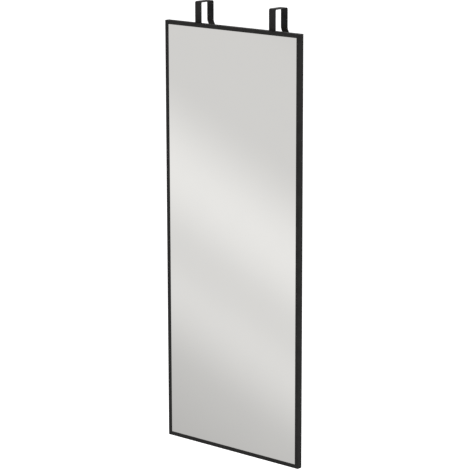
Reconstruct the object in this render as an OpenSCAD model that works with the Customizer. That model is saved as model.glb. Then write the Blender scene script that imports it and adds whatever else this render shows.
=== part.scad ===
// Over-the-door mirror: a glass panel in a mitred, extruded frame, hung from two strap hooks.
// The origin is midway between the hooks, where the door's front face meets its top edge.
// +X is to the right seen from the front, +Y goes into the door and +Z is up.

/* [Frame] */
// Width of the frame over its outer edges
frame_w = 400; // [320:5:600]
// Height of the frame over its outer edges
frame_h = 1000; // [600:10:1600]
// Width of the lip that shows round the glass
face_w = 9; // [7:0.5:14]
// Thickness of the front lip
lip_t = 1.2; // [1:0.1:2]
// Thickness of the outer wall, the web and the channel's inner wall
wall_t = 1.2; // [1:0.1:1.6]
// Width of the rear channel section, from the outer edge inwards
rear_w = 16; // [14:0.5:22]
// Depth inside the rear channel
channel_d = 3.2; // [3:0.1:5]
// Thickness of the two lips that close the rear channel
slot_lip_t = 1.4; // [1.2:0.1:2]
// Width of the slot between those lips
slot_w = 6; // [5:0.5:8]
// Radius on the long outer edges of the extrusion
edge_r = 0.5; // [0.2:0.1:0.9]

/* [Panel] */
// Thickness of the silvered glass
glass_t = 3; // [2:0.5:5]
// Thickness of the foam sheet behind the glass
foam_t = 1; // [0.5:0.5:2]
// Thickness of the backing board
board_t = 3; // [2:0.5:4]
// Gap from the panel's edge to the outer wall
panel_gap = 0.5; // [0.2:0.1:1.5]

/* [Corner keys] */
// Length of each leg of the corner key, from its outer corner
key_leg = 32; // [30:1:45]
// Thickness of the corner key
key_t = 2; // [1.5:0.1:2.6]
// Gap between the key and the channel's side walls
key_gap = 0.2; // [0.1:0.05:0.5]
// Cut across the key's outer corner
key_corner_cut = 2; // [1:0.5:4]
// Distance from the frame's outer corner to the first grub screw of a leg
grub_first = 16; // [16:0.5:18]
// Distance between the two grub screws of a leg
grub_step = 11; // [8:0.5:12]
// Thread diameter of the grub screws
grub_d = 4; // [3:0.5:4.5]
// How far a grub screw stands out behind the key's seat on the slot lips
grub_proud = 0.8; // [0.4:0.1:1]
// Hexagon socket of the grub screws, across its flats
grub_socket = 2; // [1.5:0.1:2]
// Depth of that socket
grub_socket_depth = 1.8; // [1.2:0.1:2.2]

/* [Hooks] */
// Distance between the centre lines of the two hooks
hook_spacing = 220; // [60:5:260]
// Width of the steel strap
hook_w = 19; // [18:0.5:30]
// Thickness of the steel strap
strap_t = 1.5; // [1.2:0.1:2.5]
// Inner width of the hook, between its two legs
door_gap = 40; // [32:1:60]
// Distance from the door's top edge down to the frame's top edge
hook_drop = 45.5; // [20:0.5:120]
// Inner radius of the two top bends
bend_r = 2.5; // [1.5:0.5:6]
// Straight height of the rear leg below the door's top edge
rear_leg = 41; // [36:0.5:90]
// Inner radius of the bend that turns the rear leg's tip away from the door
flare_r = 15; // [4:0.5:20]
// Angle of the tip from the leg
flare_angle = 30; // [10:1:40]
// Straight length of the tip
flare_len = 10; // [6:0.5:20]
// Distance from the strap's foot to the inner edge of the rail
foot_inset = 0.8; // [0.2:0.1:1.5]
// Radius of the corners at the strap's two ends
strap_corner_r = 3; // [1:0.5:5]

/* [Hook clamps] */
// Distance between the two screws of a hook
clamp_step = 10; // [9:0.5:10]
// Thread diameter of the screws
clamp_screw_d = 4; // [3:0.5:4]
// Diameter of the countersunk heads
clamp_head_d = 7.5; // [6.5:0.5:7.5]
// Driver recess of the heads, across its flats
clamp_socket = 2.5; // [2:0.1:2.6]
// Depth of that recess
clamp_socket_depth = 1.4; // [1:0.1:1.6]
// Length of the nut plate along the channel
plate_len = 30; // [24:1:40]
// Gap between the nut plate and the channel's side walls
plate_gap = 0.8; // [0.3:0.1:1.2]
// Gap between the nut plate and the channel's floor
plate_floor_gap = 0.75; // [0.7:0.05:1]
// How far a screw's tip passes the nut plate
screw_tip = 0.6; // [0.2:0.05:0.6]
// Running gap that a hook keeps to the rail on either side of the slot lips
slide_gap = 0.05; // [0.03:0.01:0.1]
// Radial gap between a screw and its hole
screw_gap = 0.05; // [0.03:0.01:0.1]

/* [Pads and bumpers] */
// Thickness of the pads inside the hooks
pad_t = 1; // [0.5:0.1:2]
// Gap from a pad's long edge to the strap's edge
pad_side = 1; // [0.5:0.5:3]
// Gap from the top pad's ends to the start of the bends
pad_end = 1; // [0.5:0.5:4]
// Length of the pad on the rear leg
rear_pad_len = 28; // [15:1:30]
// Distance from the door's top edge to the top of that pad
rear_pad_drop = 8; // [5:0.5:8]
// Radius of the pads' corners
pad_corner_r = 2; // [1:0.5:4]
// Distance from each side of the frame to the bumper near it
bumper_inset = 65; // [45:1:120]
// Diameter of the bumper's foot
bumper_d = 12; // [9:0.5:14]
// Length of the bumper's head inside the channel
bumper_head = 1.8; // [1:0.1:2.6]
// How far the bumper's head reaches past the slot's edge
bumper_grip = 1.2; // [0.5:0.1:1.8]
// Gap between the bumper's neck and the slot
bumper_gap = 0.1; // [0.05:0.05:0.3]
// Bevel round the bumper's foot
bumper_bevel = 0.6; // [0.2:0.1:1]

/* [Hidden] */
$fn = 64;
coat_black = "#2b2b2b";
rubber_black = "#1d1d1d";
dark_steel = "#45464a";
zinc = "#b8bcc0";
silvered = "#d3d8da";
foam_white = "#f0efe9";
board_brown = "#6b4a2f";
// How far a cutting shape runs past what it cuts
past = 1;
frame_d = lip_t + glass_t + foam_t + board_t + wall_t + channel_d + slot_lip_t;
seat_v = frame_d - slot_lip_t;
web_v = seat_v - channel_d;
frame_back_y = -(strap_t + slide_gap);
frame_front_y = frame_back_y - frame_d;
frame_top_z = -hook_drop;
slot_u = rear_w / 2;
glass_v = lip_t;
foam_v = glass_v + glass_t;
board_v = foam_v + foam_t;
panel_inset = wall_t + panel_gap;
key_inset = wall_t + key_gap;
key_w = rear_w - 2 * key_inset;
plate_w = rear_w - 2 * (wall_t + plate_gap);
plate_t = channel_d - slide_gap - plate_floor_gap;
screw_len = strap_t + 2 * slide_gap + slot_lip_t + plate_t + screw_tip;
bridge_z = pad_t;
foot_z = frame_top_z - rear_w + foot_inset;
// Outer radius of the tip's bend, on the door's side
tip_r = flare_r + strap_t;
tip_run = flare_len * [sin(flare_angle), -cos(flare_angle)];
// Flats that the tip's bend is divided into
flare_steps = 10;
slot_z = frame_top_z - slot_u;

// ---- Places ----

// The frame's own space: its front face at y = 0 and its top edge at z = 0
module in_frame() {
    translate([0, frame_front_y, frame_top_z]) children();
}

// A corner of the frame, drawn for the top right one, with its legs towards -X and -Z
module at_corner(side, end) {
    in_frame()
        translate([side * frame_w / 2, 0, end > 0 ? 0 : -frame_h])
            mirror([side > 0 ? 0 : 1, 0, 0])
                mirror([0, 0, end > 0 ? 0 : 1])
                    children();
}

// The centre line of a hook
module at_hook(side) {
    translate([side * hook_spacing / 2, 0, 0]) children();
}

// A bar along +Y, from y to y + length, at the given x and z
module along_y(x, y, z) {
    translate([x, y, z]) rotate([-90, 0, 0]) children();
}

// A flat shape drawn in X and Z, filled from y to y + thickness
module upright(y, thickness) {
    translate([0, y + thickness, 0]) rotate([90, 0, 0]) linear_extrude(thickness) children();
}

// A profile drawn in Y and Z, run along X over the given length, centred
module along_x(length) {
    translate([-length / 2, 0, 0]) rotate([90, 0, 90]) linear_extrude(length) children();
}

// The waste outside a rounded corner, which lies at the origin and opens towards +x and +y
module corner_waste(r) {
    difference() {
        translate([-past, -past]) square(r + past);
        translate([r, r]) circle(r);
    }
}

// A rectangle with round corners, centred
module rounded_rect(w, h, r) {
    square([w - 2 * r, h], center = true);
    square([w, h - 2 * r], center = true);
    for (x = [-1, 1], y = [-1, 1])
        translate([x * (w / 2 - r), y * (h / 2 - r)]) circle(r);
}

// ---- Frame ----

// Cross-section of the extrusion: x is the depth from the front, y is minus the distance inwards
module rail_section() {
    difference() {
        union() {
            // front lip
            translate([0, -face_w]) square([lip_t, face_w]);
            // outer wall
            translate([0, -wall_t]) square([frame_d, wall_t]);
            // web behind the panel, with the rear channel's inner wall and two lips
            translate([web_v - wall_t, -rear_w]) square([wall_t, rear_w]);
            translate([web_v - wall_t, -rear_w]) square([frame_d - web_v + wall_t, wall_t]);
            translate([seat_v, -slot_u + slot_w / 2]) square([slot_lip_t, slot_u - slot_w / 2]);
            translate([seat_v, -rear_w]) square([slot_lip_t, rear_w - slot_u - slot_w / 2]);
        }
        // rounded long edges
        mirror([0, 1]) corner_waste(edge_r);
        translate([frame_d, 0]) mirror([1, 0]) mirror([0, 1]) corner_waste(edge_r);
        translate([frame_d, -rear_w]) mirror([1, 0]) corner_waste(edge_r);
        translate([0, -face_w]) corner_waste(edge_r);
    }
}

// One side of the frame, mitred at both ends: its outer edge on z = 0, the rest below
module rail(length) {
    reach = rear_w + past;
    intersection() {
        along_x(length + 2 * past) rail_section();
        upright(-past, frame_d + 2 * past)
            polygon([
                [-length / 2 - past, past],
                [length / 2 + past, past],
                [length / 2 - reach, -reach],
                [-length / 2 + reach, -reach]
            ]);
    }
}

module top_rail() {
    color(coat_black) in_frame() rail(frame_w);
}

module bottom_rail() {
    color(coat_black) in_frame() translate([0, 0, -frame_h]) mirror([0, 0, 1]) rail(frame_w);
}

module stile(side) {
    color(coat_black)
        in_frame()
            translate([side * frame_w / 2, 0, -frame_h / 2])
                rotate([0, side * 90, 0])
                    rail(frame_h);
}

// ---- Panel ----

// A sheet of the panel that fills the frame's groove from depth v to v + thickness
module panel_sheet(v, thickness) {
    in_frame()
        translate([-frame_w / 2 + panel_inset, v, -frame_h + panel_inset])
            cube([frame_w - 2 * panel_inset, thickness, frame_h - 2 * panel_inset]);
}

module mirror_glass() {
    color(silvered) panel_sheet(glass_v, glass_t);
}

module foam_sheet() {
    color(foam_white) panel_sheet(foam_v, foam_t);
}

module backing_board() {
    color(board_brown) panel_sheet(board_v, board_t);
}

// ---- Corner keys ----

// Places of the four grub screws of a corner, as [x, z] from the frame's outer corner
grub_places = [
    for (n = [0, 1]) [-grub_first - n * grub_step, -slot_u],
    for (n = [0, 1]) [-slot_u, -grub_first - n * grub_step]
];

// The flat L plate that lies against the slot lips and holds two mitred ends together
module corner_key(side, end) {
    leg_end = -(key_inset + key_leg);
    leg_side = -(key_inset + key_w);
    color(zinc)
        at_corner(side, end)
            difference() {
                upright(seat_v - key_t, key_t)
                    polygon([
                        [-key_inset - key_corner_cut, -key_inset],
                        [leg_end, -key_inset],
                        [leg_end, leg_side],
                        [leg_side, leg_side],
                        [leg_side, leg_end],
                        [-key_inset, leg_end],
                        [-key_inset, -key_inset - key_corner_cut]
                    ]);
                for (place = grub_places)
                    along_y(place[0], seat_v - key_t - past, place[1])
                        cylinder(d = grub_d, h = key_t + 2 * past);
            }
}

// Four grub screws, which press on the channel's floor and jack the key against the slot lips
module corner_screws(side, end) {
    color(dark_steel)
        at_corner(side, end)
            for (place = grub_places)
                along_y(place[0], web_v, place[1])
                    difference() {
                        cylinder(d = grub_d - 2 * screw_gap, h = channel_d + grub_proud);
                        translate([0, 0, channel_d + grub_proud - grub_socket_depth])
                            cylinder(d = grub_socket / cos(30), h = grub_socket_depth + past, $fn = 6);
                    }
}

// ---- Hooks ----

// Side view of the bent strap in Y and Z: foot, bridge over the door, rear leg and flared tip
module strap_section() {
    front_bend = [bend_r, bridge_z - bend_r];
    rear_bend = [door_gap - bend_r, bridge_z - bend_r];
    // front leg, down to the foot behind the rail
    translate([-strap_t, foot_z]) square([strap_t, front_bend[1] - foot_z]);
    // bridge
    translate([bend_r, bridge_z]) square([door_gap - 2 * bend_r, strap_t]);
    // rear leg
    translate([door_gap, -rear_leg]) square([strap_t, rear_bend[1] + rear_leg]);
    // the two top bends
    translate(front_bend) quarter_bend();
    translate(rear_bend) mirror([1, 0]) quarter_bend();
    // flared tip, below the leg
    translate([door_gap, -rear_leg])
        polygon(concat(
            flare_arc(tip_r),
            [flare_arc(tip_r)[flare_steps] + tip_run],
            [flare_arc(flare_r)[flare_steps] + tip_run],
            [for (n = [flare_steps:-1:0]) flare_arc(flare_r)[n]]
        ));
}

// Points down the tip's bend at radius r, about a centre behind the leg
function flare_arc(r) = [
    for (n = [0:flare_steps])
        let (turn = n * flare_angle / flare_steps)
            [tip_r - r * cos(turn), -r * sin(turn)]
];

// The top bend over the front leg
module quarter_bend() {
    outer_r = bend_r + strap_t;
    intersection() {
        difference() {
            circle(outer_r);
            circle(bend_r);
        }
        translate([-outer_r, 0]) square(outer_r);
    }
}

// The waste outside the two round corners of a strap end at height z, for y to y + thickness
module strap_end_waste(y, thickness, z) {
    for (side = [0, 1])
        mirror([side, 0, 0])
            upright(y, thickness)
                translate([-hook_w / 2, z]) corner_waste(strap_corner_r);
}

// One clamp screw's place across the strap
module at_clamp_screws() {
    for (side = [-1, 1])
        along_y(side * clamp_step / 2, -screw_len, slot_z) children();
}

module hook(side) {
    tip = [door_gap, -rear_leg] + flare_arc(tip_r)[flare_steps] + tip_run;
    color(coat_black)
        at_hook(side)
            difference() {
                along_x(hook_w) strap_section();
                strap_end_waste(-strap_t - past, strap_t + 2 * past, foot_z);
                strap_end_waste(tip[0] - strap_t - past, 3 * strap_t + 2 * past, tip[1]);
                // countersunk holes for the clamp screws
                at_clamp_screws() {
                    cylinder(d = clamp_screw_d + 2 * screw_gap, h = screw_len + past);
                    translate([0, 0, screw_len]) head_cone(screw_gap, past);
                }
            }
}

// ---- Hook clamps ----

// A countersunk head of 90 degrees, its flat top at z = 0. Its hole is wider by gap and
// runs on past the top.
module head_cone(gap, beyond) {
    depth = (clamp_head_d - clamp_screw_d) / 2;
    translate([0, 0, -depth])
        cylinder(
            d1 = clamp_screw_d + 2 * gap,
            d2 = clamp_head_d + 2 * (gap + beyond),
            h = depth + beyond
        );
}

// The plate inside the channel, with two threaded holes
module nut_plate(side) {
    plate_y = frame_back_y - slot_lip_t - slide_gap - plate_t;
    color(zinc)
        at_hook(side)
            difference() {
                translate([-plate_len / 2, plate_y, slot_z - plate_w / 2])
                    cube([plate_len, plate_t, plate_w]);
                at_clamp_screws() cylinder(d = clamp_screw_d, h = screw_len);
            }
}

module hook_screws(side) {
    color(dark_steel)
        at_hook(side)
            at_clamp_screws()
                difference() {
                    union() {
                        cylinder(d = clamp_screw_d - 2 * screw_gap, h = screw_len);
                        translate([0, 0, screw_len]) head_cone(0, 0);
                    }
                    translate([0, 0, screw_len - clamp_socket_depth])
                        cylinder(d = clamp_socket / cos(30), h = clamp_socket_depth + past, $fn = 6);
                }
}

// ---- Pads and bumpers ----

// The pad under the bridge, on which the mirror hangs
module top_pad(side) {
    color(rubber_black)
        at_hook(side)
            translate([0, door_gap / 2, 0])
                linear_extrude(pad_t)
                    rounded_rect(
                        hook_w - 2 * pad_side,
                        door_gap - 2 * (bend_r + pad_end),
                        pad_corner_r
                    );
}

// The pad on the inner face of the rear leg
module rear_pad(side) {
    color(rubber_black)
        at_hook(side)
            upright(door_gap - pad_t, pad_t)
                translate([0, -rear_pad_drop - rear_pad_len / 2])
                    rounded_rect(hook_w - 2 * pad_side, rear_pad_len, pad_corner_r);
}

// A round foot with a neck through the slot and a head inside the channel
module door_bumper(side) {
    foot_r = bumper_d / 2;
    neck_r = slot_w / 2 - bumper_gap;
    head_r = slot_w / 2 + bumper_grip;
    foot_h = -frame_back_y;
    neck_h = foot_h + slot_lip_t;
    color(rubber_black)
        translate([side * (frame_w / 2 - bumper_inset), 0, frame_top_z - frame_h + slot_u])
            rotate([90, 0, 0])
                rotate_extrude()
                    polygon([
                        [0, 0],
                        [foot_r - bumper_bevel, 0],
                        [foot_r, bumper_bevel],
                        [foot_r, foot_h],
                        [neck_r, foot_h],
                        [neck_r, neck_h],
                        [head_r, neck_h],
                        [neck_r, neck_h + bumper_head],
                        [0, neck_h + bumper_head]
                    ]);
}

top_rail();
bottom_rail();
stile(-1);  // left_stile
stile(1);  // right_stile
mirror_glass();
foam_sheet();
backing_board();
corner_key(-1, 1);  // corner_key_top_left
corner_key(1, 1);  // corner_key_top_right
corner_key(-1, -1);  // corner_key_bottom_left
corner_key(1, -1);  // corner_key_bottom_right
corner_screws(-1, 1);  // corner_screws_top_left
corner_screws(1, 1);  // corner_screws_top_right
corner_screws(-1, -1);  // corner_screws_bottom_left
corner_screws(1, -1);  // corner_screws_bottom_right
hook(-1);  // hook_left
hook(1);  // hook_right
nut_plate(-1);  // nut_plate_left
nut_plate(1);  // nut_plate_right
hook_screws(-1);  // hook_screws_left
hook_screws(1);  // hook_screws_right
top_pad(-1);  // top_pad_left
top_pad(1);  // top_pad_right
rear_pad(-1);  // rear_pad_left
rear_pad(1);  // rear_pad_right
door_bumper(-1);  // door_bumper_left
door_bumper(1);  // door_bumper_right
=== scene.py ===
"""The looks of an over-the-door mirror: a silvered pane in a satin black frame, on two strap hooks.

Lengths are in metres, and mm turns millimetres into them. +X is to the right seen from the front, the
door stands towards +Y, and z = 0 is the door's top edge.
"""

import math

import bmesh
import bpy
from mathutils import Matrix, Vector


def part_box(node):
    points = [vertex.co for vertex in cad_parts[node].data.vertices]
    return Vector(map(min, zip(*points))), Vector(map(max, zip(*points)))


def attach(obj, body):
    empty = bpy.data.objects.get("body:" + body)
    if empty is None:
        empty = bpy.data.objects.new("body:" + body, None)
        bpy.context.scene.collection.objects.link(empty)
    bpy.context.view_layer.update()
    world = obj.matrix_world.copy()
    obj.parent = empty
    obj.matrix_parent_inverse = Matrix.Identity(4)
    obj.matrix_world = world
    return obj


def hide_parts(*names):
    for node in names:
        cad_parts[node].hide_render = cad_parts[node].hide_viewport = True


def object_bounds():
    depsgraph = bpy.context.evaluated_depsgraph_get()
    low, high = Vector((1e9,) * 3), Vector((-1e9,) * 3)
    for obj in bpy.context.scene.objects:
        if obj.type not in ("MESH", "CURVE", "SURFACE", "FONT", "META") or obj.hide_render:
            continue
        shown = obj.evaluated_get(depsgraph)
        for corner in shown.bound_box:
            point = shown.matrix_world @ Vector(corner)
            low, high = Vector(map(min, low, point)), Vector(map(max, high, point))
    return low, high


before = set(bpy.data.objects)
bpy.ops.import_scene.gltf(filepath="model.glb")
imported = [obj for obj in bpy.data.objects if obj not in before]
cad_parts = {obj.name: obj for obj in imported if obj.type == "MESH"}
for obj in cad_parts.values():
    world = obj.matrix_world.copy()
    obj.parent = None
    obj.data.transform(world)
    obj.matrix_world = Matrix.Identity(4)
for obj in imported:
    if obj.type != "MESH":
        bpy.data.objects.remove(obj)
cad_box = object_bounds()

# ---- Frame ----
# Two rails and two stiles of one aluminium extrusion, sawn to 45 degrees and coated satin black. The
# coat has a fine orange peel, the die's long lines show through it, and it is rubbed a little paler on
# the outer edges. The saw cuts are eased, so each mitre shows as a hairline.
mm = 0.001
frame_ease = 0.12 * mm
coat_black = (0.0090, 0.0084, 0.0079, 1)
coat_thin = (0.0131, 0.0124, 0.0118, 1)
coat_rubbed = (0.037, 0.036, 0.035, 1)
FLOAT = "NodeSocketFloat"
VECTOR = "NodeSocketVector"


def new_finish(name, **settings):
    """A material, its node tree and its Principled shader, with the shader's plain sockets set."""
    finish = bpy.data.materials.new(name)
    finish.use_nodes = True
    shader = finish.node_tree.nodes["Principled BSDF"]
    for socket, value in settings.items():
        shader.inputs[socket.replace("_", " ")].default_value = value
    return finish, finish.node_tree, shader


def add(tree, kind, inputs=None, **settings):
    """A node in a tree. Each input takes a plain value or another node's output."""
    node = tree.nodes.new(kind)
    for name, value in settings.items():
        setattr(node, name, value)
    for socket, value in (inputs or {}).items():
        if isinstance(value, bpy.types.NodeSocket):
            tree.links.new(value, node.inputs[socket])
        else:
            node.inputs[socket].default_value = value
    return node


def new_group(kind, name, inputs, outputs):
    """An empty node group of the given kind, with its named input and output sockets."""
    group = bpy.data.node_groups.new(name, kind)
    for in_out, sockets in (("INPUT", inputs), ("OUTPUT", outputs)):
        for label, (socket_type, value) in sockets.items():
            socket = group.interface.new_socket(label, in_out=in_out, socket_type=socket_type)
            if value is not None:
                socket.default_value = value
    return group, group.nodes.new("NodeGroupInput").outputs, group.nodes.new("NodeGroupOutput").inputs


def new_effect(name, inputs, outputs):
    """A shader node group whose outputs are all plain values that change over the surface."""
    kinds = {label: (FLOAT, value) for label, value in inputs.items()}
    kinds["Position"] = (VECTOR, None)
    return new_group("ShaderNodeTree", name, kinds, {label: (FLOAT, None) for label in outputs})


def calc(tree, operation, first, second=0.0):
    """The output of one Math node."""
    return add(tree, "ShaderNodeMath", {0: first, 1: second}, operation=operation).outputs[0]


def calc_vector(tree, operation, first, second):
    """The vector output of one Vector Math node."""
    return add(tree, "ShaderNodeVectorMath", {0: first, 1: second}, operation=operation).outputs[0]


def split(tree, vector):
    """The X, Y and Z outputs of one Separate XYZ node."""
    return add(tree, "ShaderNodeSeparateXYZ", {0: vector}).outputs


def join(tree, x, y, z):
    """The vector output of one Combine XYZ node."""
    return add(tree, "ShaderNodeCombineXYZ", {0: x, 1: y, 2: z}).outputs[0]


def blend_colour(tree, share, first, second):
    """The output of one colour Mix node."""
    mix = add(tree, "ShaderNodeMix", {"Factor": share}, data_type="RGBA")
    for socket, value in ((mix.inputs[6], first), (mix.inputs[7], second)):
        if isinstance(value, bpy.types.NodeSocket):
            tree.links.new(value, socket)
        else:
            socket.default_value = value
    return mix.outputs[2]


def remap(tree, value, from_low, from_high, to_low, to_high):
    """The output of one smooth Map Range node."""
    sockets = {
        "Value": value, "From Min": from_low, "From Max": from_high, "To Min": to_low, "To Max": to_high,
    }
    return add(tree, "ShaderNodeMapRange", sockets, interpolation_type="SMOOTHSTEP").outputs[0]


def noise(tree, position, scale, detail=2.0, roughness=0.5):
    """The value output of one Noise Texture node."""
    sockets = {"Vector": position, "Scale": scale, "Detail": detail, "Roughness": roughness}
    return add(tree, "ShaderNodeTexNoise", sockets).outputs[0]


def orange_peel_effect():
    """Fine bumps of a sprayed or moulded skin: Size is the bumps' width in metres."""
    inputs = {"Size": 0.4 * mm, "Pores": 0.3}
    group, sockets, ends = new_effect("orange_peel", inputs, ("Height", "Tone"))
    scale = calc(group, "DIVIDE", 1.0, sockets["Size"])
    peel = noise(group, sockets["Position"], scale, 1.0)
    pores = noise(group, sockets["Position"], calc(group, "MULTIPLY", scale, 3.7), 2.0, 0.6)
    cloud = noise(group, sockets["Position"], calc(group, "MULTIPLY", scale, 0.02), 3.0, 0.6)
    height = calc(group, "ADD", peel, calc(group, "MULTIPLY", pores, sockets["Pores"]))
    group.links.new(height, ends["Height"])
    group.links.new(remap(group, cloud, 0.35, 0.65, 0.0, 1.0), ends["Tone"])
    return group


def edge_rub_effect():
    """Where a box-shaped part is rubbed: near its corner edges, and near its two sides in X."""
    group, sockets, ends = new_effect("edge_rub", {"Reach": 0.6 * mm}, ("Edges", "Sides"))
    for label in ("Low", "High"):
        group.interface.new_socket(label, in_out="INPUT", socket_type=VECTOR)
    above = calc_vector(group, "SUBTRACT", sockets["Position"], sockets["Low"])
    below = calc_vector(group, "SUBTRACT", sockets["High"], sockets["Position"])
    x, y, z = split(group, calc_vector(group, "MINIMUM", above, below))
    pairs = [calc(group, "MAXIMUM", first, second) for first, second in ((x, y), (y, z), (z, x))]
    edge = calc(group, "MINIMUM", calc(group, "MINIMUM", pairs[0], pairs[1]), pairs[2])
    patch = remap(group, noise(group, sockets["Position"], 90.0, 4.0, 0.65), 0.38, 0.62, 0.25, 1.0)
    for distance, end in ((edge, "Edges"), (x, "Sides")):
        worn = remap(group, distance, 0.0, sockets["Reach"], 1.0, 0.0)
        group.links.new(calc(group, "MULTIPLY", worn, patch), ends[end])
    return group


def long_lines_effect():
    """Fine lines that a die leaves along a part, in X where Along is 0 and in Z where it is 1."""
    group, sockets, ends = new_effect("long_lines", {"Along": 0.0, "Pitch": 0.35 * mm}, ("Height",))
    x, y, z = split(group, sockets["Position"])
    run = remap(group, sockets["Along"], 0.0, 1.0, x, z)
    across = remap(group, sockets["Along"], 0.0, 1.0, z, x)
    lines = join(group, calc(group, "MULTIPLY", run, 0.004), y, across)
    scale = calc(group, "DIVIDE", 1.0, sockets["Pitch"])
    group.links.new(noise(group, lines, scale, 3.0, 0.7), ends["Height"])
    return group


def object_position(tree):
    """The surface's place in the mirror's own space."""
    return add(tree, "ShaderNodeTexCoord").outputs["Object"]


def use_effect(tree, group, **inputs):
    """The outputs of an effect placed in a finish."""
    node = add(tree, "ShaderNodeGroup", node_tree=group)
    for socket, value in inputs.items():
        if isinstance(value, bpy.types.NodeSocket):
            tree.links.new(value, node.inputs[socket])
        else:
            node.inputs[socket].default_value = value
    return node.outputs


def raise_surface(tree, shader, height, depth):
    """Feeds a height to the shader's normal: depth is in metres at height 1."""
    bump = add(tree, "ShaderNodeBump", {"Height": height, "Distance": depth, "Strength": 1.0})
    tree.links.new(bump.outputs[0], shader.inputs["Normal"])


orange_peel = orange_peel_effect()
edge_rub = edge_rub_effect()
long_lines = long_lines_effect()


def satin_coat(name, low, high, along, rim):
    """Satin black coat on a part that fills the box from low to high, rubbed at its Edges or Sides."""
    finish, tree, shader = new_finish(name, IOR=1.5, Specular_IOR_Level=0.18)
    position = object_position(tree)
    peel = use_effect(tree, orange_peel, Position=position, Size=0.45 * mm, Pores=0.35)
    rub = use_effect(tree, edge_rub, Position=position, Low=low, High=high, Reach=0.55 * mm)[rim]
    lines = use_effect(tree, long_lines, Position=position, Along=along)["Height"]
    coat = blend_colour(tree, peel["Tone"], coat_black, coat_thin)
    coat = blend_colour(tree, calc(tree, "MULTIPLY", rub, 0.4), coat, coat_rubbed)
    tree.links.new(coat, shader.inputs["Base Color"])
    matt = remap(tree, peel["Height"], 0.3, 1.0, 0.40, 0.52)
    matt = calc(tree, "SUBTRACT", matt, calc(tree, "MULTIPLY", rub, 0.1))
    tree.links.new(matt, shader.inputs["Roughness"])
    skin = calc(tree, "ADD", peel["Height"], calc(tree, "MULTIPLY", lines, 0.5))
    raise_surface(tree, shader, skin, 0.012 * mm)
    return finish


def ease_edges(shape, ease, steps=2, spared=()):
    """Rounds the sharp edges of a closed bmesh, apart from those between two spared points."""
    sharp = math.radians(35)
    edges = [edge for edge in shape.edges if edge.is_manifold and edge.calc_face_angle(0.0) > sharp
             and not all(vert in spared for vert in edge.verts)]
    bmesh.ops.bevel(shape, geom=edges, offset=ease, offset_type="OFFSET", segments=steps, profile=0.5,
                    affect="EDGES", clamp_overlap=False)


def as_piece(name, shape, finishes, body, slot, *nodes):
    """A finished bmesh as a smooth piece that rides on a body and stands for the given CAD nodes."""
    mesh = bpy.data.meshes.new(name)
    shape.to_mesh(mesh)
    shape.free()
    for finish in finishes:
        mesh.materials.append(finish)
    mesh.polygons.foreach_set("use_smooth", [True] * len(mesh.polygons))
    mesh.set_sharp_from_angle(angle=math.radians(40))
    piece = bpy.data.objects.new(name, mesh)
    bpy.context.scene.collection.objects.link(piece)
    piece.modifiers.new("weighted", "WEIGHTED_NORMAL").keep_sharp = True
    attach(piece, body)
    if nodes:
        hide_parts(*nodes)
    return piece


def node_shape(node):
    """A bmesh copy of a CAD node, its loose triangles merged into a closed solid."""
    shape = bmesh.new()
    shape.from_mesh(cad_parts[node].data)
    bmesh.ops.remove_doubles(shape, verts=shape.verts, dist=0.001 * mm)
    return shape


def eased_part(node, name, finish, body, slot, ease, weld=0.001 * mm, screws=None):
    """A made part with its edges eased, as they are once it is deburred and coated. Points closer than
    weld become one, slivers under a quarter of it go, and the rims round the node's screws stay sharp."""
    shape = node_shape(node)
    flat = math.radians(0.5)
    bmesh.ops.dissolve_limit(shape, angle_limit=flat, verts=shape.verts, edges=shape.edges)
    bmesh.ops.remove_doubles(shape, verts=shape.verts, dist=weld)
    rims = set()
    if screws:
        room = Vector((0.5, 2.0, 0.5)) * mm
        low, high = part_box(screws)[0] - room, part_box(screws)[1] + room
        rims = {vert for vert in shape.verts
                if all(low[axis] < vert.co[axis] < high[axis] for axis in range(3))}
    ease_edges(shape, ease, spared=rims)
    bmesh.ops.dissolve_degenerate(shape, edges=shape.edges, dist=weld / 4)
    return as_piece(name, shape, [finish], body, slot, node)


rails = ["top_rail", "bottom_rail"]
stiles = ["left_stile", "right_stile"]
frame_low = Vector([min(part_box(side)[0][axis] for side in rails + stiles) for axis in range(3)])
frame_high = Vector([max(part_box(side)[1][axis] for side in rails + stiles) for axis in range(3)])
rail_coat = satin_coat("rail_satin_black", frame_low, frame_high, 0.0, "Edges")
stile_coat = satin_coat("stile_satin_black", frame_low, frame_high, 1.0, "Edges")
for sides, coat in ((rails, rail_coat), (stiles, stile_coat)):
    for side in sides:
        eased_part(side, side + "_extrusion", coat, "frame", "frame_coat", frame_ease)

# ---- Mirror pane ----
# 3 mm float glass with ground arrises, silvered behind and sealed with grey paint. It fills the frame's
# groove and shows a clear reflection, a touch warm from the silver.
arris = 0.4 * mm
silver_tint = (0.845, 0.835, 0.811, 1)
silver_hazed = (0.832, 0.822, 0.799, 1)
glass_edge = (0.10, 0.22, 0.17, 1)
glass_ground = (0.16, 0.30, 0.24, 1)
paint_grey = (0.21, 0.22, 0.23, 1)
paint_pale = (0.25, 0.26, 0.27, 1)


def silvered_finish():
    """A clear mirror under glass, with a haze too faint to see but in the highlights."""
    clear = {"Metallic": 1.0, "Coat_Weight": 0.2, "Coat_Roughness": 0.01}
    finish, tree, shader = new_finish("silvered_glass", **clear)
    position = object_position(tree)
    haze = noise(tree, position, 14.0, 4.0, 0.6)
    tree.links.new(blend_colour(tree, haze, silver_tint, silver_hazed), shader.inputs["Base Color"])
    tree.links.new(remap(tree, haze, 0.4, 0.75, 0.012, 0.03), shader.inputs["Roughness"])
    return finish


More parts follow.
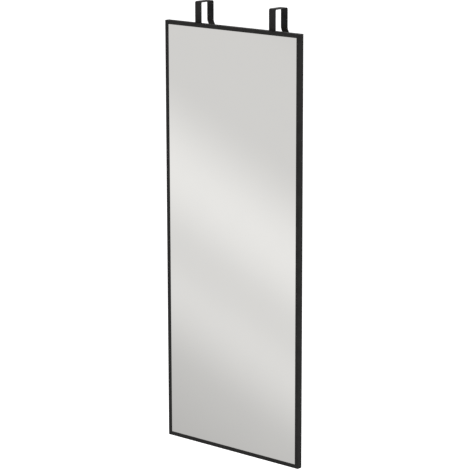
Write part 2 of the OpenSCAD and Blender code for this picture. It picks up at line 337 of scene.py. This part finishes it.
def ground_glass_finish():
    """The greenish edge of float glass, matt from the stone that ground it."""
    finish, tree, shader = new_finish("ground_glass_edge", IOR=1.52)
    grind = noise(tree, object_position(tree), 2600.0, 2.0)
    tree.links.new(blend_colour(tree, grind, glass_edge, glass_ground), shader.inputs["Base Color"])
    tree.links.new(remap(tree, grind, 0.2, 0.8, 0.35, 0.6), shader.inputs["Roughness"])
    raise_surface(tree, shader, grind, 0.02 * mm)
    return finish


def mirror_paint_finish():
    """The paint that seals the silver, rolled on in a light orange peel."""
    finish, tree, shader = new_finish("mirror_back_paint", IOR=1.5, Specular_IOR_Level=0.3)
    position = object_position(tree)
    peel = use_effect(tree, orange_peel, Position=position, Size=1.2 * mm, Pores=0.2)
    tree.links.new(blend_colour(tree, peel["Tone"], paint_grey, paint_pale), shader.inputs["Base Color"])
    tree.links.new(remap(tree, peel["Height"], 0.3, 0.9, 0.5, 0.62), shader.inputs["Roughness"])
    raise_surface(tree, shader, peel["Height"], 0.02 * mm)
    return finish


def box_shape(low, high):
    """A closed box as a bmesh."""
    shape = bmesh.new()
    centre = Matrix.Translation((low + high) / 2)
    bmesh.ops.create_cube(shape, size=1.0, matrix=centre @ Matrix.Diagonal((*(high - low), 1.0)))
    return shape


pane = box_shape(*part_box("mirror_glass"))
ease_edges(pane, arris, steps=1)
pane_finishes = [silvered_finish(), ground_glass_finish(), mirror_paint_finish()]
square_on = 0.99
for face in pane.faces:
    outwards = face.normal.y
    face.material_index = 0 if outwards < -square_on else 2 if outwards > square_on else 1
as_piece("mirror_pane", pane, pane_finishes, "frame", "silvered_glass", "mirror_glass")

# ---- Foam sheet ----
# A 1 mm sheet of white closed-cell foam behind the pane, which takes up the play in the groove. Its
# cells leave both faces slightly dimpled.
foam_dimple = 0.12 * mm
foam_cell = 8 * mm
foam_white = (0.80, 0.80, 0.77, 1)
foam_shade = (0.70, 0.70, 0.67, 1)


def new_shape_tree(name, inputs):
    """An empty geometry tree with its named inputs, a Finish, and the Shape that it makes."""
    sockets = {**inputs, "Finish": ("NodeSocketMaterial", None)}
    return new_group("GeometryNodeTree", name, sockets, {"Shape": ("NodeSocketGeometry", None)})


def end_shape_tree(tree, geometry, sockets, ends, weld=0.0):
    """Ends a geometry tree: copies made real, points closer than weld made one, and the Finish set."""
    shape = add(tree, "GeometryNodeRealizeInstances", {"Geometry": geometry}).outputs[0]
    if weld:
        close = {"Geometry": shape, "Distance": weld}
        shape = add(tree, "GeometryNodeMergeByDistance", close).outputs[0]
    done = add(tree, "GeometryNodeSetMaterial", {"Geometry": shape, "Material": sockets["Finish"]})
    tree.links.new(done.outputs[0], ends["Shape"])
    return tree


def foam_sheet_tree():
    """A slab of the given size, centred, whose two faces are dimpled inwards."""
    tree, sockets, ends = new_shape_tree("foam_sheet", {
        "Width": (FLOAT, 0.3), "Thickness": (FLOAT, mm), "Height": (FLOAT, 0.9),
        "Dimple": (FLOAT, foam_dimple), "Cell": (FLOAT, foam_cell),
    })
    size = join(tree, sockets["Width"], sockets["Thickness"], sockets["Height"])
    across = calc(tree, "DIVIDE", sockets["Width"], sockets["Cell"])
    down = calc(tree, "DIVIDE", sockets["Height"], sockets["Cell"])
    grid = {"Size": size, "Vertices X": across, "Vertices Y": 2, "Vertices Z": down}
    slab = add(tree, "GeometryNodeMeshCube", grid)
    place = add(tree, "GeometryNodeInputPosition").outputs[0]
    depth = calc(tree, "MULTIPLY", noise(tree, place, 75.0), sockets["Dimple"])
    depth = calc(tree, "MULTIPLY", depth, calc(tree, "SIGN", split(tree, place)[1]))
    inwards = join(tree, 0.0, calc(tree, "MULTIPLY", depth, -1.0), 0.0)
    dimpled = add(tree, "GeometryNodeSetPosition", {"Geometry": slab.outputs[0], "Offset": inwards})
    return end_shape_tree(tree, dimpled.outputs[0], sockets, ends)


def made_by(tree, values, points=()):
    """The bmesh that a geometry tree makes from its inputs and, where it takes them, loose points."""
    mesh = bpy.data.meshes.new(tree.name)
    mesh.from_pydata([tuple(point) for point in points], [], [])
    maker = bpy.data.objects.new(tree.name, mesh)
    bpy.context.scene.collection.objects.link(maker)
    modifier = maker.modifiers.new(tree.name, "NODES")
    modifier.node_group = tree
    for socket in tree.interface.items_tree:
        if socket.in_out == "INPUT" and socket.name in values:
            modifier[socket.identifier] = values[socket.name]
    made = bpy.data.meshes.new_from_object(maker.evaluated_get(bpy.context.evaluated_depsgraph_get()))
    maker.modifiers.clear()
    bpy.data.objects.remove(maker)
    shape = bmesh.new()
    shape.from_mesh(made)
    bpy.data.meshes.remove(made)
    return shape


def foam_finish():
    """White foam, a little darker in its cells."""
    finish, tree, shader = new_finish("white_foam", IOR=1.4, Specular_IOR_Level=0.3)
    position = object_position(tree)
    cells = add(tree, "ShaderNodeTexVoronoi", {"Vector": position, "Scale": 900.0}).outputs["Distance"]
    tree.links.new(blend_colour(tree, cells, foam_white, foam_shade), shader.inputs["Base Color"])
    tree.links.new(remap(tree, cells, 0.0, 0.8, 0.55, 0.75), shader.inputs["Roughness"])
    raise_surface(tree, shader, cells, 0.06 * mm)
    return finish


def size_of(node):
    """A CAD node's size, and the matrix that moves a shape to its centre."""
    low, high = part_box(node)
    return high - low, Matrix.Translation((low + high) / 2)


foam_size, foam_place = size_of("foam_sheet")
white_foam = foam_finish()
foam = made_by(foam_sheet_tree(), {
    "Width": foam_size.x, "Thickness": foam_size.y, "Height": foam_size.z,
    "Dimple": foam_dimple, "Cell": foam_cell, "Finish": white_foam,
})
bmesh.ops.transform(foam, matrix=foam_place, verts=foam.verts)
foam_piece = as_piece("foam_layer", foam, [white_foam], "frame", "foam", "foam_sheet")

# ---- Backing board ----
# A 3 mm sheet of brown hardboard that closes the panel from behind. Its rough side faces the door and
# bears the print of the wire screen that it was pressed on.
board_ease = 0.3 * mm
screen_pitch = 1.6 * mm
board_brown = (0.150, 0.082, 0.042, 1)
board_dark = (0.085, 0.045, 0.024, 1)
board_fleck = (0.240, 0.150, 0.085, 1)


def hardboard_finish():
    """Pressed brown fibres with pale flecks, with painted shade in the hollows of the screen's print."""
    finish, tree, shader = new_finish("brown_hardboard", IOR=1.45, Specular_IOR_Level=0.25)
    position = object_position(tree)
    sway = {"Vector": position, "Scale": 60.0, "Detail": 3.0}
    bent = add(tree, "ShaderNodeTexNoise", sway).outputs["Color"]
    warp = add(tree, "ShaderNodeVectorMath", {0: bent, "Scale": 0.9 * mm}, operation="SCALE")
    x, y, z = split(tree, calc_vector(tree, "ADD", position, warp.outputs[0]))
    waves = [calc(tree, "SINE", calc(tree, "MULTIPLY", run, math.pi / screen_pitch)) for run in (x, z)]
    humps = [calc(tree, "ABSOLUTE", wave) for wave in waves]
    print_height = calc(tree, "POWER", calc(tree, "MULTIPLY", humps[0], humps[1]), 0.65)
    fibres = noise(tree, calc_vector(tree, "MULTIPLY", position, (1.0, 1.0, 0.35)), 620.0, 5.0, 0.75)
    flecks = noise(tree, position, 640.0, 3.0, 0.8)
    clouds = noise(tree, position, 14.0, 3.0, 0.55)
    tone = calc(tree, "ADD", calc(tree, "MULTIPLY", fibres, 0.75), calc(tree, "MULTIPLY", clouds, 0.25))
    colour = blend_colour(tree, remap(tree, tone, 0.38, 0.68, 0.0, 1.0), board_dark, board_brown)
    colour = blend_colour(tree, remap(tree, flecks, 0.60, 0.74, 0.0, 0.5), colour, board_fleck)
    # Painted shade: the board's colour is darkened towards board_dark in the hollows of the screen's print
    hollow_painted_shade = remap(tree, print_height, 0.0, 0.8, 0.45, 0.0)
    tree.links.new(blend_colour(tree, hollow_painted_shade, colour, board_dark), shader.inputs["Base Color"])
    tree.links.new(remap(tree, fibres, 0.3, 0.7, 0.72, 0.9), shader.inputs["Roughness"])
    height = calc(tree, "ADD", print_height, calc(tree, "MULTIPLY", fibres, 0.6))
    raise_surface(tree, shader, height, 0.2 * mm)
    return finish


eased_part("backing_board", "hardboard_sheet", hardboard_finish(), "frame", "hardboard", board_ease)

# ---- Corner keys ----
# Four flat L plates of zinc-plated steel in the rear channels, one across each mitre. They are stamped,
# so their edges are slightly round, and the plating shows the sheet's rolling lines.
key_ease = 0.2 * mm
zinc_pale = (0.64, 0.65, 0.665, 1)
zinc_dull = (0.52, 0.535, 0.555, 1)


def zinc_finish():
    """Bright zinc, mottled, over steel with fine rolling lines in X."""
    finish, tree, shader = new_finish("zinc_plated_steel", Metallic=1.0)
    position = object_position(tree)
    mottle = remap(tree, noise(tree, position, 210.0, 5.0, 0.7), 0.3, 0.7, 0.0, 1.0)
    tree.links.new(blend_colour(tree, mottle, zinc_pale, zinc_dull), shader.inputs["Base Color"])
    rolled = calc_vector(tree, "MULTIPLY", position, (0.05, 1.0, 1.0))
    scratches = noise(tree, rolled, 3200.0, 4.0, 0.7)
    tree.links.new(remap(tree, scratches, 0.3, 0.7, 0.30, 0.48), shader.inputs["Roughness"])
    raise_surface(tree, shader, scratches, 0.006 * mm)
    return finish


zinc = zinc_finish()
corners = ["top_left", "top_right", "bottom_left", "bottom_right"]
for corner in corners:
    node = "corner_key_" + corner
    eased_part(node, node + "_plate", zinc, "frame", "zinc_steel", key_ease)

# ---- Screws ----
# Blackened steel screws with hexagon sockets: sixteen M4 grub screws that jack the corner keys against
# the slot lips, and two countersunk M4 screws through the foot of each hook.
thread_pitch = 0.7 * mm
thread_depth = 0.3 * mm
thread_rows = 6
screw_sides = 24
end_chamfer = 0.35 * mm
cup_depth = 0.3 * mm
grub_socket = 2.0 * mm
grub_socket_depth = 1.8 * mm
head_socket = 2.5 * mm
head_socket_depth = 1.4 * mm
head_land = 0.15 * mm
shank_play = 0.02 * mm
socket_lead = 0.12 * mm
oxide_black = (0.028, 0.028, 0.031, 1)
oxide_worn = (0.15, 0.15, 0.155, 1)


def turned(rings, sides):
    """A closed solid about the Y axis, from rings: a place along Y, and a radius or a function of angle."""
    shape = bmesh.new()
    angles = [math.tau * step / sides for step in range(sides)]
    rows = []
    for along, reach in rings:
        if reach == 0:
            rows.append([shape.verts.new((0, along, 0))])
            continue
        radii = [reach(angle) if callable(reach) else reach for angle in angles]
        rows.append([shape.verts.new((radius * math.cos(angle), along, radius * math.sin(angle)))
                     for radius, angle in zip(radii, angles)])
    for first, second in zip(rows, rows[1:]):
        for step in range(sides):
            after = (step + 1) % sides
            ring = [first[step % len(first)], first[after % len(first)],
                    second[after % len(second)], second[step % len(second)]]
            shape.faces.new(list(dict.fromkeys(ring)))
    bmesh.ops.recalc_face_normals(shape, faces=shape.faces)
    return shape


def thread_rings(start, end, radius):
    """Rings of a screw thread from start to end along Y."""
    count = round((end - start) / thread_pitch * thread_rows)

    def flank(along):
        def reach(angle):
            turn = (along / thread_pitch - angle / math.tau) % 1
            return radius - thread_depth * abs(2 * turn - 1)
        return reach

    places = [start + (end - start) * step / count for step in range(count + 1)]
    return [(along, flank(along)) for along in places]


def socket_rings(face, width, depth):
    """Rings of a hexagon socket sunk from the face at the given place along Y."""
    def hexagon(angle):
        return width / 2 / math.cos(angle % (math.pi / 3) - math.pi / 6)

    return [
        (face, lambda angle: hexagon(angle) + socket_lead),
        (face - socket_lead, hexagon),
        (face - depth + socket_lead, hexagon),
        (face - depth, lambda angle: 0.8 * hexagon(angle)),
        (face - depth, 0),
    ]


def grub_screw(length, radius):
    """A grub screw with a cup point at y = 0 and its socket at the other end."""
    point = [(cup_depth, 0), (0, 0.55 * radius), (0, 0.7 * radius), (end_chamfer, radius - thread_depth)]
    body = thread_rings(2 * end_chamfer, length - end_chamfer, radius)
    socket = socket_rings(length, grub_socket, grub_socket_depth)
    return turned([*point, *body, (length, radius - end_chamfer), *socket], screw_sides)


def countersunk_screw(length, radius, head_radius):
    """A countersunk screw with its tip at y = 0 and its flat head at the other end."""
    neck = length - (head_radius - radius)
    rim = head_radius - head_land
    point = [(0, 0), (0, radius - thread_depth - end_chamfer), (end_chamfer, radius - thread_depth)]
    body = thread_rings(2 * end_chamfer, neck - head_land, radius - shank_play)
    head = [(neck, radius - shank_play), (length - head_land, rim), (length, rim)]
    socket = socket_rings(length, head_socket, head_socket_depth)
    return turned([*point, *body, *head, *socket], screw_sides)


def set_screws_tree():
    """One screw on each point, each turned about its own axis by chance, as driven screws end up."""
    tree, sockets, ends = new_shape_tree("set_screws", {
        "Places": ("NodeSocketGeometry", None), "Screw": ("NodeSocketObject", None),
        "Seed": ("NodeSocketInt", 0),
    })
    screw = add(tree, "GeometryNodeObjectInfo", {"Object": sockets["Screw"]})
    turn = add(tree, "FunctionNodeRandomValue", data_type="FLOAT")
    turn.inputs[3].default_value = math.tau
    tree.links.new(sockets["Seed"], turn.inputs["Seed"])
    driven = add(tree, "GeometryNodeInstanceOnPoints", {
        "Points": sockets["Places"], "Instance": screw.outputs["Geometry"],
        "Rotation": join(tree, 0.0, turn.outputs[1], 0.0),
    })
    return end_shape_tree(tree, driven.outputs[0], sockets, ends)


def black_oxide_finish():
    """Blackened steel, worn back to grey in small spots."""
    finish, tree, shader = new_finish("black_oxide_steel", Metallic=1.0)
    position = object_position(tree)
    wear = noise(tree, position, 900.0, 4.0, 0.7)
    worn = blend_colour(tree, remap(tree, wear, 0.55, 0.8, 0.0, 0.7), oxide_black, oxide_worn)
    tree.links.new(worn, shader.inputs["Base Color"])
    tree.links.new(remap(tree, wear, 0.3, 0.7, 0.42, 0.3), shader.inputs["Roughness"])
    raise_surface(tree, shader, wear, 0.006 * mm)
    return finish


def screw_places(node):
    """The axis places of a node's screws, as the middles of its separate solids, and one screw's box."""
    shape = node_shape(node)
    left = set(shape.verts)
    boxes = []
    while left:
        found, todo = set(), [left.pop()]
        while todo:
            vert = todo.pop()
            found.add(vert)
            for edge in vert.link_edges:
                other = edge.other_vert(vert)
                if other in left:
                    left.discard(other)
                    todo.append(other)
        low = Vector([min(vert.co[axis] for vert in found) for axis in range(3)])
        high = Vector([max(vert.co[axis] for vert in found) for axis in range(3)])
        boxes.append((low, high))
    shape.free()
    boxes.sort(key=lambda box: (round(box[0].x, 5), round(box[0].z, 5)))
    places = [Vector(((low.x + high.x) / 2, low.y, (low.z + high.z) / 2)) for low, high in boxes]
    return places, boxes[0][1] - boxes[0][0]


screws_tree = set_screws_tree()
black_oxide = black_oxide_finish()


def driven_screws(name, body, nodes, make_screw, seed):
    """All the screws of some nodes on one body, as one piece."""
    places = []
    for node in nodes:
        found, size = screw_places(node)
        places += found
    screw_mesh = bpy.data.meshes.new(name + "_blank")
    blank = make_screw(size)
    blank.to_mesh(screw_mesh)
    blank.free()
    screw = bpy.data.objects.new(name + "_blank", screw_mesh)
    bpy.context.scene.collection.objects.link(screw)
    shape = made_by(screws_tree, {"Screw": screw, "Seed": seed, "Finish": black_oxide}, places)
    bpy.data.objects.remove(screw)
    return as_piece(name, shape, [black_oxide], body, "screw_steel", *nodes)


driven_screws("grub_screws", "frame", ["corner_screws_" + corner for corner in corners],
              lambda size: grub_screw(size.y, size.x / 2), seed=3)

# ---- Hooks ----
# Two straps of 1.5 mm steel, blanked with round ends, bent over the door's top edge and flared at the
# tip so that they slide on easily. They wear the frame's satin black coat, rubbed at the long edges.
strap_ease = 0.15 * mm
strap_weld = 0.2 * mm
hands = ["left", "right"]
for hand in hands:
    node = "hook_" + hand
    coat = satin_coat(node + "_satin_black", *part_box(node), 1.0, "Sides")
    eased_part(node, node + "_strap", coat, hand + "_hook", "hook_coat", strap_ease,
               weld=strap_weld, screws="hook_screws_" + hand)

# ---- Hook clamps ----
# A zinc-plated nut plate in the rail's channel behind each hook, and the two countersunk screws that
# draw it up against the slot lips. Slackened, they let the hook slide along the rail.
thread_radius = 1.95 * mm
for hand in hands:
    node = "nut_plate_" + hand
    eased_part(node, node + "_plated", zinc, hand + "_hook", "zinc_steel", key_ease)
    driven_screws("clamp_screws_" + hand, hand + "_hook", ["hook_screws_" + hand],
                  lambda size: countersunk_screw(size.y, thread_radius, size.x / 2), seed=11)

# ---- Pads ----
# Soft black rubber strips stuck inside each hook, under its bridge and on its rear leg, so that the
# steel doesn't mark the door. Cross ribs on the face that meets the door give them grip.
rib_height = 0.3 * mm
rib_spacing = 2.4 * mm
rib_margin = 1.2 * mm
rib_sides = 12
pad_corner = 2 * mm
corner_steps = 6
pad_ease = 0.12 * mm
pad_weld = 0.002 * mm
rubber_black = (0.012, 0.012, 0.012, 1)
rubber_bloom = (0.018, 0.018, 0.0185, 1)


def ribbed_pad_tree():
    """A flat pad with round corners in the XY plane, its back at z = 0 and cross ribs on its face."""
    tree, sockets, ends = new_shape_tree("ribbed_pad", {
        "Width": (FLOAT, 0.017), "Length": (FLOAT, 0.03), "Thickness": (FLOAT, mm),
        "Corner": (FLOAT, pad_corner), "Rib Height": (FLOAT, rib_height),
        "Rib Spacing": (FLOAT, rib_spacing), "Margin": (FLOAT, rib_margin),
    })
    sides = {"Width": sockets["Width"], "Height": sockets["Length"]}
    outline = add(tree, "GeometryNodeCurvePrimitiveQuadrilateral", sides).outputs[0]
    rounding = {"Curve": outline, "Radius": sockets["Corner"]}
    rounded = add(tree, "GeometryNodeFilletCurve", rounding, mode="POLY")
    rounded.inputs["Count"].default_value = corner_steps
    back = add(tree, "GeometryNodeFillCurve", {"Curve": rounded.outputs[0]}, mode="NGONS").outputs[0]
    under = add(tree, "GeometryNodeFlipFaces", {"Mesh": back}).outputs[0]
    base = calc(tree, "SUBTRACT", sockets["Thickness"], sockets["Rib Height"])
    raised = add(tree, "GeometryNodeExtrudeMesh", {"Mesh": back, "Offset Scale": base})
    raised.inputs["Individual"].default_value = False
    run = calc(tree, "SUBTRACT", sockets["Length"], calc(tree, "MULTIPLY", sockets["Corner"], 2.0))
    gaps = calc(tree, "FLOOR", calc(tree, "DIVIDE", run, sockets["Rib Spacing"]))
    row = {
        "Count": calc(tree, "ADD", gaps, 1.0),
        "Start Location": join(tree, 0.0, calc(tree, "MULTIPLY", run, -0.5), base),
        "Offset": join(tree, 0.0, calc(tree, "DIVIDE", run, gaps), 0.0),
    }
    places = add(tree, "GeometryNodeMeshLine", row).outputs[0]
    reach = calc(tree, "SUBTRACT", calc(tree, "MULTIPLY", sockets["Width"], 0.5), sockets["Margin"])
    start = join(tree, calc(tree, "MULTIPLY", reach, -1.0), 0.0, 0.0)
    line = {"Start": start, "End": join(tree, reach, 0.0, 0.0)}
    ring = {"Resolution": rib_sides, "Radius": sockets["Rib Height"]}
    rib = add(tree, "GeometryNodeCurveToMesh", {
        "Curve": add(tree, "GeometryNodeCurvePrimitiveLine", line).outputs[0],
        "Profile Curve": add(tree, "GeometryNodeCurvePrimitiveCircle", ring).outputs[0],
        "Fill Caps": True,
    }).outputs[0]
    ribs = add(tree, "GeometryNodeInstanceOnPoints", {"Points": places, "Instance": rib}).outputs[0]
    joined = add(tree, "GeometryNodeJoinGeometry")
    for part in (ribs, under, raised.outputs[0]):
        tree.links.new(part, joined.inputs[0])
    return end_shape_tree(tree, joined.outputs[0], sockets, ends, weld=pad_weld)


def rubber_finish():
    """Black rubber with a fine moulded grain and a faint bloom."""
    finish, tree, shader = new_finish("black_rubber", IOR=1.5, Specular_IOR_Level=0.15)
    position = object_position(tree)
    skin = use_effect(tree, orange_peel, Position=position, Size=0.25 * mm, Pores=0.6)
    tone = blend_colour(tree, skin["Tone"], rubber_black, rubber_bloom)
    tree.links.new(tone, shader.inputs["Base Color"])
    tree.links.new(remap(tree, skin["Height"], 0.3, 1.1, 0.62, 0.82), shader.inputs["Roughness"])
    raise_surface(tree, shader, skin["Height"], 0.03 * mm)
    return finish


pad_tree = ribbed_pad_tree()
rubber = rubber_finish()


def stuck_pad(node, body, face_down):
    """A ribbed pad in a pad node's space, its ribs towards the door."""
    size, place = size_of(node)
    length, thickness = (size.y, size.z) if face_down else (size.z, size.y)
    shape = made_by(pad_tree, {
        "Width": size.x, "Length": length, "Thickness": thickness, "Corner": pad_corner,
        "Rib Height": rib_height, "Rib Spacing": rib_spacing, "Margin": rib_margin, "Finish": rubber,
    })
    ease_edges(shape, pad_ease)
    lowered = Matrix.Translation((0, 0, -thickness / 2))
    turn = Matrix.Rotation(math.pi, 4, "X") if face_down else Matrix.Rotation(math.pi / 2, 4, "X")
    bmesh.ops.transform(shape, matrix=place @ turn @ lowered, verts=shape.verts)
    return as_piece(node + "_rubber", shape, [rubber], body, "rubber", node)


for hand in hands:
    stuck_pad("top_pad_" + hand, hand + "_hook", True)
    stuck_pad("rear_pad_" + hand, hand + "_hook", False)

# ---- Door bumpers ----
# Two moulded rubber feet pushed into the bottom rail's slot. They hold the frame's foot off the door,
# and each has a shallow dish in its face and a cone-shaped head that snaps in behind the slot lips.
bumper_sides = 48
foot_height = 1.55 * mm
neck_radius = 2.9 * mm
neck_end = 2.95 * mm
bumper_head_radius = 4.2 * mm
dish_radius = 3.9 * mm
dish_depth = 0.35 * mm
dish_lead = 0.3 * mm
foot_round = 0.5 * mm
bumper_ease = 0.15 * mm
head_round = 0.1 * mm
head_taper = 0.25 * mm


def bumper_shape(size):
    """A bumper with its face at y = 0 and its head towards -Y."""
    foot = size.x / 2
    turns = [math.radians(angle) for angle in (90, 60, 30, 0)]
    rounding = [(-foot_round * (1 - math.sin(turn)), foot - foot_round * (1 - math.cos(turn)))
                for turn in turns]
    return turned([
        (-dish_depth, 0),
        (-dish_depth, 0.6 * dish_radius),
        (-0.6 * dish_depth, 0.9 * dish_radius),
        (0, dish_radius + dish_lead),
        *rounding,
        (-foot_height + bumper_ease, foot),
        (-foot_height, foot - bumper_ease),
        (-foot_height, neck_radius),
        (-neck_end, neck_radius),
        (-neck_end, bumper_head_radius - bumper_ease),
        (-neck_end - head_round, bumper_head_radius - head_round),
        (-size.y + 2 * head_round, neck_radius + head_round),
        (-size.y, neck_radius - head_taper),
        (-size.y, 0),
    ], bumper_sides)


for hand in hands:
    node = "door_bumper_" + hand
    low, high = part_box(node)
    shape = bumper_shape(high - low)
    axis = Vector(((low.x + high.x) / 2, high.y, (low.z + high.z) / 2))
    bmesh.ops.translate(shape, vec=axis, verts=shape.verts)
    as_piece(node + "_rubber", shape, [rubber], "frame", "rubber", node)

# ---- Studio ----
# A pale floor well under the hanging mirror, white beyond it, soft lamps and the photograph's camera.
# Seen from below, the floor is clear. The mirror and the coats reflect a pale studio wall with long soft
# lights that slant across it.
floor_drop = 2.03
floor_side = 40.0
floor_pale = (0.86, 0.86, 0.86, 1)
floor_lift = 0.65
room_light = 0.62
far_light = 0.25
band_reach = 0.090
band_slant = 0.74
wall_dim = 0.52
# Of each light: its place across the reach, how far from there it is even and where it has faded, and
# how much it adds to the wall. Past the reach the lights repeat, mirrored.
wall_lights = {
    "wash": (0.65, 0.25, 0.80, 0.23),
    "broad": (0.54, 0.0, 0.20, 0.20),
    "narrow": (0.29, 0.0, 0.15, 0.11),
}
# Fitted to the frame's edges and the hooks' tops in the photograph
camera_place = Vector((3.192, -3.689, 0.579))
camera_turn = math.radians(40.883)
camera_dip = math.radians(12.780)
camera_roll = math.radians(-0.126)
camera_lens = 166.5

bpy.context.scene.view_settings.view_transform = "Standard"
camera = bpy.data.objects.new("camera", bpy.data.cameras.new("camera"))
camera.data.lens = camera_lens
camera.data.sensor_width = 36.0
aim = Vector((
    -math.sin(camera_turn) * math.cos(camera_dip),
    math.cos(camera_turn) * math.cos(camera_dip),
    -math.sin(camera_dip),
))
level = aim.to_track_quat("-Z", "Y").to_matrix()
facing = level @ Matrix.Rotation(camera_roll, 3, "Z")
camera.matrix_world = Matrix.Translation(camera_place) @ facing.to_4x4()
bpy.context.scene.collection.objects.link(camera)
bpy.context.scene.camera = camera

floor = bpy.data.objects.new("floor", bpy.data.meshes.new("floor"))
ways = ((-0.5, -0.5), (0.5, -0.5), (0.5, 0.5), (-0.5, 0.5))
floor_points = [(floor_side * x, floor_side * y, -floor_drop) for x, y in ways]
floor.data.from_pydata(floor_points, [], [(0, 1, 2, 3)])
floor.visible_glossy = False
bpy.context.scene.collection.objects.link(floor)
floor_finish, tree, shader = new_finish("pale_floor", Base_Color=floor_pale, Roughness=0.9)
rays = add(tree, "ShaderNodeLightPath").outputs
glow = calc(tree, "MULTIPLY", rays["Is Camera Ray"], floor_lift)
lift = add(tree, "ShaderNodeEmission", {"Strength": glow}).outputs[0]
lifted = add(tree, "ShaderNodeAddShader", {0: shader.outputs[0], 1: lift}).outputs[0]
clear = add(tree, "ShaderNodeBsdfTransparent").outputs[0]
below = add(tree, "ShaderNodeNewGeometry").outputs["Backfacing"]
one_sided = add(tree, "ShaderNodeMixShader", {0: below, 1: lifted, 2: clear}).outputs[0]
tree.links.new(one_sided, tree.nodes["Material Output"].inputs["Surface"])
floor.data.materials.append(floor_finish)

world = bpy.data.worlds.new("studio")
bpy.context.scene.world = world
world.use_nodes = True
tree = world.node_tree
tree.nodes.clear()
rays = add(tree, "ShaderNodeLightPath").outputs
way = add(tree, "ShaderNodeTexCoord").outputs["Generated"]
right, up = facing.col[0], facing.col[1]
across = (up + band_slant * right) * Vector((1, -1, 1))
across.normalize()
slope = add(tree, "ShaderNodeVectorMath", {0: way, 1: across}, operation="DOT_PRODUCT").outputs["Value"]
share = calc(tree, "DIVIDE", calc(tree, "ADD", slope, band_reach), 2 * band_reach)
share = calc(tree, "PINGPONG", share, 1.0)
wall = wall_dim
for place, even, faded, bright in wall_lights.values():
    away = calc(tree, "ABSOLUTE", calc(tree, "SUBTRACT", share, place))
    wall = calc(tree, "ADD", wall, remap(tree, away, even, faded, bright, 0.0))
# Beyond the mirror the wall is dimmer
ahead = add(tree, "ShaderNodeVectorMath", {0: way, 1: aim}, operation="DOT_PRODUCT").outputs["Value"]
seen = calc(tree, "MULTIPLY", wall, remap(tree, ahead, 0.4, 0.9, 1.0, far_light))
shiny = calc(tree, "MAXIMUM", rays["Is Glossy Ray"], rays["Is Transmission Ray"])
plain = blend_colour(tree, rays["Is Camera Ray"], (room_light, room_light, room_light, 1), (1, 1, 1, 1))
backdrop = add(tree, "ShaderNodeBackground", {"Color": blend_colour(tree, shiny, plain, seen)})
add(tree, "ShaderNodeOutputWorld", {"Surface": backdrop.outputs[0]})


def soft_lamp(name, place, side, power):
    """A square lamp aimed at the mirror's middle. Those in front of it stay out of its reflection."""
    lamp = bpy.data.objects.new(name, bpy.data.lights.new(name, "AREA"))
    lamp.data.shape = "SQUARE"
    lamp.data.size = side
    lamp.data.energy = power
    lamp.location = place
    lamp.visible_glossy = place.y > 0
    middle = (cad_box[0] + cad_box[1]) / 2
    lamp.rotation_euler = (middle - lamp.location).to_track_quat("-Z", "Y").to_euler()
    bpy.context.scene.collection.objects.link(lamp)


soft_lamp("key_lamp", Vector((2.6, -2.2, 1.2)), 1.8, 55.0)
soft_lamp("fill_lamp", Vector((-2.4, -2.6, 0.9)), 2.2, 26.0)
soft_lamp("back_lamp", Vector((-0.8, 3.0, 1.4)), 2.0, 34.0)
